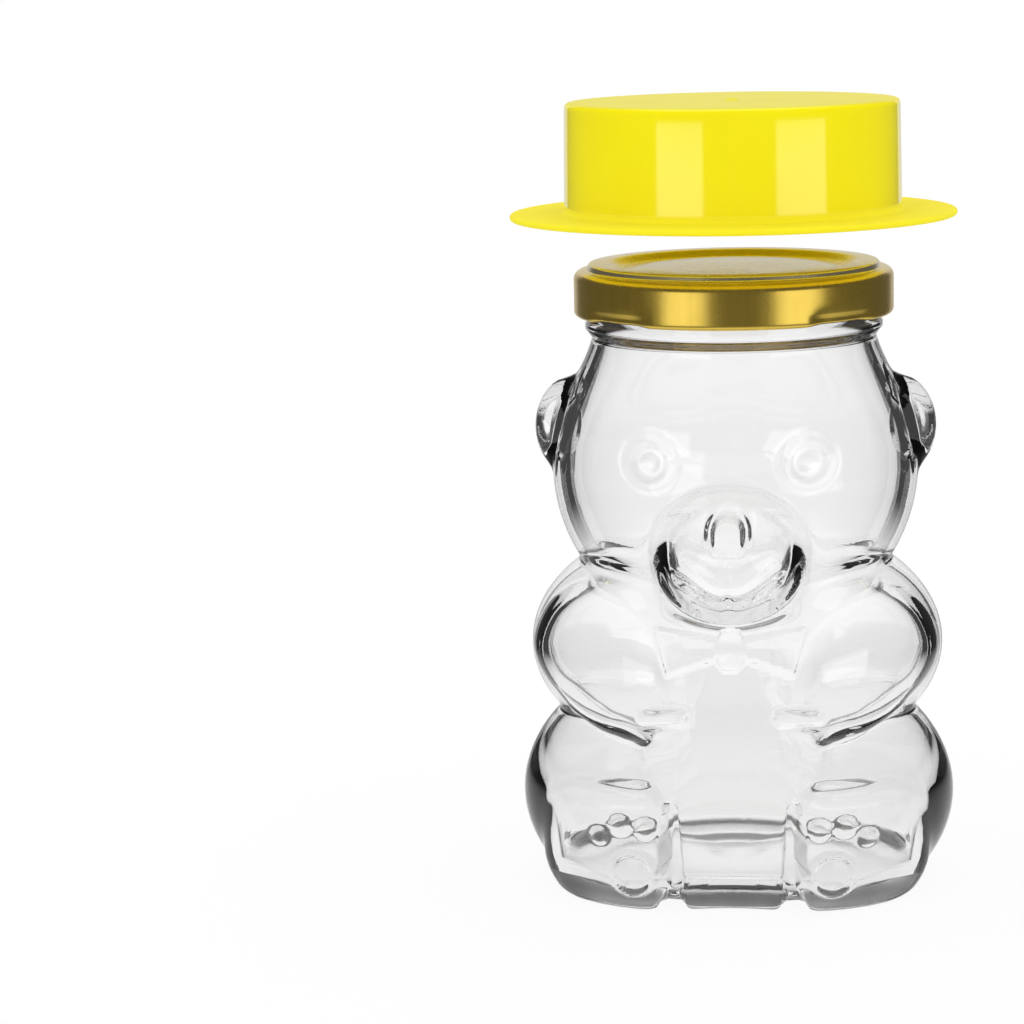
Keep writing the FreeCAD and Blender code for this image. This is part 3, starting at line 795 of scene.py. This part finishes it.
def sealing_compound():
    """Pale soft ring of sealing compound, satin, with fine pits."""
    finish = Finish("sealing_compound")
    finish.set(IOR=1.5)
    smears, scratches = finish.handled(400.0, 1500.0)
    colour = finish.tint(finish.spread(smears, 0.0, 1.0), (0.55, 0.52, 0.45, 1), (0.66, 0.63, 0.56, 1))
    finish.join(colour, finish.shader.inputs["Base Color"])
    finish.join(finish.spread(scratches, 0.45, 0.6), finish.shader.inputs["Roughness"])
    finish.join(finish.bump(smears, 0.0001, 0.5), finish.shader.inputs["Normal"])
    return finish.material


def yellow_plastic():
    """Injection-moulded plastic: a polished crown, a satin top and a dull brim."""
    finish = Finish("yellow_plastic")
    finish.set(IOR=1.5, Coat_IOR=1.6, Coat_Roughness=0.08)
    smears, scratches = finish.handled(45.0, 1800.0)
    colour = finish.tint(finish.spread(smears, 0.0, 1.0), (0.97, 0.84, 0.0, 1), (1.0, 0.89, 0.0, 1))
    finish.join(colour, finish.shader.inputs["Base Color"])
    off_brim = finish.above(HAT_BOTTOM + DULL_BRIM_UP_TO, 0.4)
    dull, glossy = finish.spread(scratches, 0.72, 0.85), finish.spread(scratches, 0.08, 0.14)
    side = finish.choose(off_brim, dull, glossy)
    polished = finish.choose(finish.above(HAT_TOP - 1.2, 0.3), off_brim, 0.0)
    finish.join(finish.choose(polished, 0.0, 0.6), finish.shader.inputs["Coat Weight"])
    rough = finish.choose(finish.above(HAT_TOP - 0.6), side, finish.spread(scratches, 0.3, 0.42))
    finish.join(rough, finish.shader.inputs["Roughness"])
    return finish.material


# ---- The studio --------------------------------------------------------------------------------

CAMERA_AZIMUTH = 2.2
CAMERA_DISTANCE = 644.6
CAMERA_HEIGHT = 183.5
CAMERA_PAN = 3.83
CAMERA_PITCH = 9.815
CAMERA_ROLL = -1.18
LENS = 119.05
SENSOR = 36.0


def build_camera():
    """A long lens in front of the bear, a little to its left and above its hat."""
    data = bpy.data.cameras.new("camera")
    data.sensor_width = SENSOR
    data.lens = LENS
    data.clip_start = 0.01
    data.clip_end = 10.0
    camera = bpy.data.objects.new("camera", data)
    bpy.context.scene.collection.objects.link(camera)
    azimuth = radians(CAMERA_AZIMUTH)
    place = Vector((sin(azimuth), -cos(azimuth), 0)) * CAMERA_DISTANCE + Vector((0, 0, CAMERA_HEIGHT))
    turn = Matrix.Rotation(azimuth + radians(CAMERA_PAN), 4, "Z")
    tilt = Matrix.Rotation(radians(90 - CAMERA_PITCH), 4, "X")
    roll = Matrix.Rotation(radians(CAMERA_ROLL), 4, "Z")
    camera.matrix_world = Matrix.Translation(place * MM) @ turn @ tilt @ roll
    bpy.context.scene.camera = camera
    return camera


def multiplied(material, one, other):
    """The product of two sockets of a material."""
    node = material.node_tree.nodes.new("ShaderNodeMath")
    node.operation = "MULTIPLY"
    material.node_tree.links.new(one, node.inputs[0])
    material.node_tree.links.new(other, node.inputs[1])
    return node.outputs["Value"]


def smooth_range(material, value, limits, ends):
    """A number that goes smoothly from one end to the other while a socket goes from limit to limit."""
    node = material.node_tree.nodes.new("ShaderNodeMapRange")
    node.interpolation_type = "SMOOTHSTEP"
    node.inputs["From Min"].default_value, node.inputs["From Max"].default_value = limits
    node.inputs["To Min"].default_value, node.inputs["To Max"].default_value = ends
    material.node_tree.links.new(value, node.inputs["Value"])
    return node.outputs["Result"]


def emission(name, strength, in_gloss=None, fades=(), centre=None):
    """A glow that may be weaker in gloss, change along its height or fade away from its middle."""
    material = bpy.data.materials.new(name)
    material.use_nodes = True
    nodes, links = material.node_tree.nodes, material.node_tree.links
    nodes.clear()
    level = nodes.new("ShaderNodeValue")
    level.outputs["Value"].default_value = strength
    level = level.outputs["Value"]
    place = nodes.new("ShaderNodeTexCoord")
    if in_gloss is not None:
        path = nodes.new("ShaderNodeLightPath")
        only = nodes.new("ShaderNodeMath")
        only.operation = "SUBTRACT"
        only.use_clamp = True
        links.new(path.outputs["Is Glossy Ray"], only.inputs[0])
        links.new(path.outputs["Is Transmission Ray"], only.inputs[1])
        mix = nodes.new("ShaderNodeMix")
        links.new(only.outputs["Value"], mix.inputs["Factor"])
        mix.inputs["A"].default_value = strength
        mix.inputs["B"].default_value = in_gloss
        level = mix.outputs["Result"]
    if centre is not None:
        away = nodes.new("ShaderNodeVectorMath")
        away.operation = "DISTANCE"
        away.inputs[1].default_value = centre * MM
        links.new(place.outputs["Object"], away.inputs[0])
        limits = (0.0, BACKDROP_REACH * MM)
        fade = smooth_range(material, away.outputs["Value"], limits, (1.0, BACKDROP_EDGE))
        level = multiplied(material, level, fade)
    for low, high, low_strength, high_strength in fades:
        parts = nodes.new("ShaderNodeSeparateXYZ")
        links.new(place.outputs["Object"], parts.inputs["Vector"])
        strengths = (low_strength, high_strength)
        fade = smooth_range(material, parts.outputs["Z"], (low * MM, high * MM), strengths)
        level = multiplied(material, level, fade)
    glow = nodes.new("ShaderNodeEmission")
    links.new(level, glow.inputs["Strength"])
    out = nodes.new("ShaderNodeOutputMaterial")
    links.new(glow.outputs["Emission"], out.inputs["Surface"])
    return material


def card(name, camera, azimuth, low_edge, high_edge, material):
    """A glowing card that follows the camera. Each edge: distance, height and half width."""
    angle = radians(CAMERA_AZIMUTH + azimuth)
    out = Vector((sin(angle), -cos(angle), 0))
    sideways = Vector((cos(angle), sin(angle), 0))
    form = bmesh.new()
    corners = []
    for (distance, height, half_width), sides in ((low_edge, (-1, 1)), (high_edge, (1, -1))):
        for side in sides:
            corners.append(out * distance + sideways * half_width * side + Vector((0, 0, height)))
    form.faces.new([form.verts.new(corner * MM) for corner in corners])
    mesh = bpy.data.meshes.new(name)
    form.to_mesh(mesh)
    form.free()
    mesh.materials.append(material)
    obj = bpy.data.objects.new(name, mesh)
    bpy.context.scene.collection.objects.link(obj)
    obj.visible_camera = False
    obj.visible_shadow = False
    bpy.context.view_layer.update()
    obj.parent = camera
    obj.matrix_parent_inverse = camera.matrix_world.inverted()


FLOOR_RADIUS = 0.5
FLOOR_FADE = (0.06, 0.28)
FLOOR_GLOW = 0.92
FLOOR_IN_GLASS = 0.86
PAPER = (0.95, 0.95, 0.95, 1)


def build_floor():
    """A round white floor that keeps the soft shadow and fades out towards its edge."""
    form = bmesh.new()
    bmesh.ops.create_circle(form, cap_ends=True, segments=96, radius=FLOOR_RADIUS)
    mesh = bpy.data.meshes.new("floor")
    form.to_mesh(mesh)
    form.free()
    material = bpy.data.materials.new("floor")
    material.use_nodes = True
    nodes, links = material.node_tree.nodes, material.node_tree.links
    nodes.clear()
    place = nodes.new("ShaderNodeTexCoord")
    length = nodes.new("ShaderNodeVectorMath")
    length.operation = "LENGTH"
    links.new(place.outputs["Object"], length.inputs[0])
    fade = smooth_range(material, length.outputs["Value"], FLOOR_FADE, (0.0, 1.0))
    paper = nodes.new("ShaderNodeBsdfDiffuse")
    paper.inputs["Color"].default_value = PAPER
    white = nodes.new("ShaderNodeEmission")
    path = nodes.new("ShaderNodeLightPath")
    strength = nodes.new("ShaderNodeMapRange")
    strength.inputs["To Min"].default_value = FLOOR_IN_GLASS
    links.new(path.outputs["Is Camera Ray"], strength.inputs["Value"])
    links.new(strength.outputs["Result"], white.inputs["Strength"])
    seen = path.outputs["Is Camera Ray"]
    for kind in ("Is Glossy Ray", "Is Transmission Ray"):
        most = nodes.new("ShaderNodeMath")
        most.operation = "MAXIMUM"
        links.new(seen, most.inputs[0])
        links.new(path.outputs[kind], most.inputs[1])
        seen = most.outputs["Value"]
    share = nodes.new("ShaderNodeMath")
    share.operation = "MULTIPLY"
    share.inputs[1].default_value = FLOOR_GLOW
    links.new(seen, share.inputs[0])
    lit = nodes.new("ShaderNodeMixShader")
    links.new(share.outputs["Value"], lit.inputs["Fac"])
    links.new(paper.outputs["BSDF"], lit.inputs[1])
    links.new(white.outputs["Emission"], lit.inputs[2])
    clear = nodes.new("ShaderNodeBsdfTransparent")
    mix = nodes.new("ShaderNodeMixShader")
    links.new(fade, mix.inputs["Fac"])
    links.new(lit.outputs["Shader"], mix.inputs[1])
    links.new(clear.outputs["BSDF"], mix.inputs[2])
    surface = nodes.new("ShaderNodeOutputMaterial")
    links.new(mix.outputs["Shader"], surface.inputs["Surface"])
    mesh.materials.append(material)
    floor = bpy.data.objects.new("floor", mesh)
    bpy.context.scene.collection.objects.link(floor)


SOFT_LIGHT = 0.95
ROOM_IN_GLOSS = 0.1
ROOM_IN_GLASS = 0.05
CEILING_IN_GLASS = 0.9
CEILING_FROM = 0.45
CEILING_FULL = 0.8


def build_world():
    """White behind everything for the camera, soft light all round, and a dark room for the glass."""
    world = bpy.data.worlds.new("studio")
    world.use_nodes = True
    bpy.context.scene.world = world
    nodes, links = world.node_tree.nodes, world.node_tree.links
    nodes.clear()
    path = nodes.new("ShaderNodeLightPath")
    level = nodes.new("ShaderNodeValue")
    level.outputs["Value"].default_value = SOFT_LIGHT
    level = level.outputs["Value"]
    place = nodes.new("ShaderNodeTexCoord")
    parts = nodes.new("ShaderNodeSeparateXYZ")
    links.new(place.outputs["Generated"], parts.inputs["Vector"])
    ceiling = nodes.new("ShaderNodeMapRange")
    ceiling.inputs["From Min"].default_value = CEILING_FROM
    ceiling.inputs["From Max"].default_value = CEILING_FULL
    ceiling.inputs["To Min"].default_value = ROOM_IN_GLASS
    ceiling.inputs["To Max"].default_value = CEILING_IN_GLASS
    links.new(parts.outputs["Z"], ceiling.inputs["Value"])
    strengths = (("Glossy", ROOM_IN_GLOSS), ("Transmission", ceiling.outputs["Result"]), ("Camera", 1.0))
    for kind, strength in strengths:
        mix = nodes.new("ShaderNodeMix")
        links.new(path.outputs["Is %s Ray" % kind], mix.inputs["Factor"])
        links.new(level, mix.inputs["A"])
        if isinstance(strength, float):
            mix.inputs["B"].default_value = strength
        else:
            links.new(strength, mix.inputs["B"])
        level = mix.outputs["Result"]
    back = nodes.new("ShaderNodeBackground")
    back.inputs["Color"].default_value = (1, 1, 1, 1)
    links.new(level, back.inputs["Strength"])
    out = nodes.new("ShaderNodeOutputWorld")
    links.new(back.outputs["Background"], out.inputs["Surface"])


OVERHEAD_SIZE = 0.22
OVERHEAD_HEIGHT = 0.5
OVERHEAD_STRENGTH = 1.3


def build_overhead():
    """A soft sheet of light above the object."""
    form = bmesh.new()
    bmesh.ops.create_grid(form, x_segments=1, y_segments=1, size=OVERHEAD_SIZE)
    bmesh.ops.translate(form, vec=(0, 0, OVERHEAD_HEIGHT), verts=form.verts)
    mesh = bpy.data.meshes.new("overhead")
    form.to_mesh(mesh)
    form.free()
    mesh.materials.append(emission("overhead", OVERHEAD_STRENGTH))
    sheet = bpy.data.objects.new("overhead", mesh)
    bpy.context.scene.collection.objects.link(sheet)
    sheet.visible_camera = False
    sheet.visible_shadow = False


BACKDROP_AT = 450.0
BACKDROP_MIDDLE = 90.0
BACKDROP_HALF_WIDTH = 255.0
BACKDROP_REACH = 300.0
BACKDROP_EDGE = 0.88
BACKDROP_IN_GLOSS = 0.7
BACKDROP_LEVELS = (-60.0, 330.0)
SWEEP_LEVEL = -1.0
SWEEP_NEAR_EDGE = (60.0, SWEEP_LEVEL, 50.0)
SWEEP_FAR_EDGE = (BACKDROP_AT - 1.0, SWEEP_LEVEL, BACKDROP_HALF_WIDTH)
SWEEP_IN_GLOSS = 0.5
SOFTBOX_AT = 600.0
SOFTBOX_LEVELS = (-60.0, 150.0)
# Each change of the softboxes' strength: from a level to another, from one strength to the other.
SOFTBOX_FADES = ((50.0, 120.0, 1.25, 1.65), (122.0, 150.0, 1.0, 0.0))
SOFTBOXES = (("left_softbox", -35.0, 170.0), ("right_softbox", 46.5, 190.0))


def build_studio():
    """A pale backdrop and a sheet that sweeps it to the floor, two softboxes and a light above."""
    camera = build_camera()
    build_floor()
    build_world()
    behind = radians(CAMERA_AZIMUTH + 180.0)
    backwards = Vector((sin(behind), -cos(behind), 0))
    middle = backwards * BACKDROP_AT + Vector((0, 0, BACKDROP_MIDDLE))
    glow = emission("backdrop", 1.0, in_gloss=BACKDROP_IN_GLOSS, centre=middle)
    low_edge, high_edge = [(BACKDROP_AT, level, BACKDROP_HALF_WIDTH) for level in BACKDROP_LEVELS]
    card("backdrop", camera, 180.0, low_edge, high_edge, glow)
    middle = backwards * SWEEP_FAR_EDGE[0] + Vector((0, 0, SWEEP_LEVEL))
    glow = emission("sweep", 1.0, in_gloss=SWEEP_IN_GLOSS, centre=middle)
    card("sweep", camera, 180.0, SWEEP_NEAR_EDGE, SWEEP_FAR_EDGE, glow)
    soft = emission("softbox", 1.0, fades=SOFTBOX_FADES)
    for name, azimuth, half_width in SOFTBOXES:
        low_edge, high_edge = [(SOFTBOX_AT, level, half_width) for level in SOFTBOX_LEVELS]
        card(name, camera, azimuth, low_edge, high_edge, soft)
    build_overhead()
    bpy.context.scene.view_settings.view_transform = "Standard"


build_bear(clear_glass())
build_lid(gold_tinplate())
build_hat(yellow_plastic())
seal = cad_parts["lid_seal"]
seal.data.materials.clear()
seal.data.materials.append(sealing_compound())
build_studio()
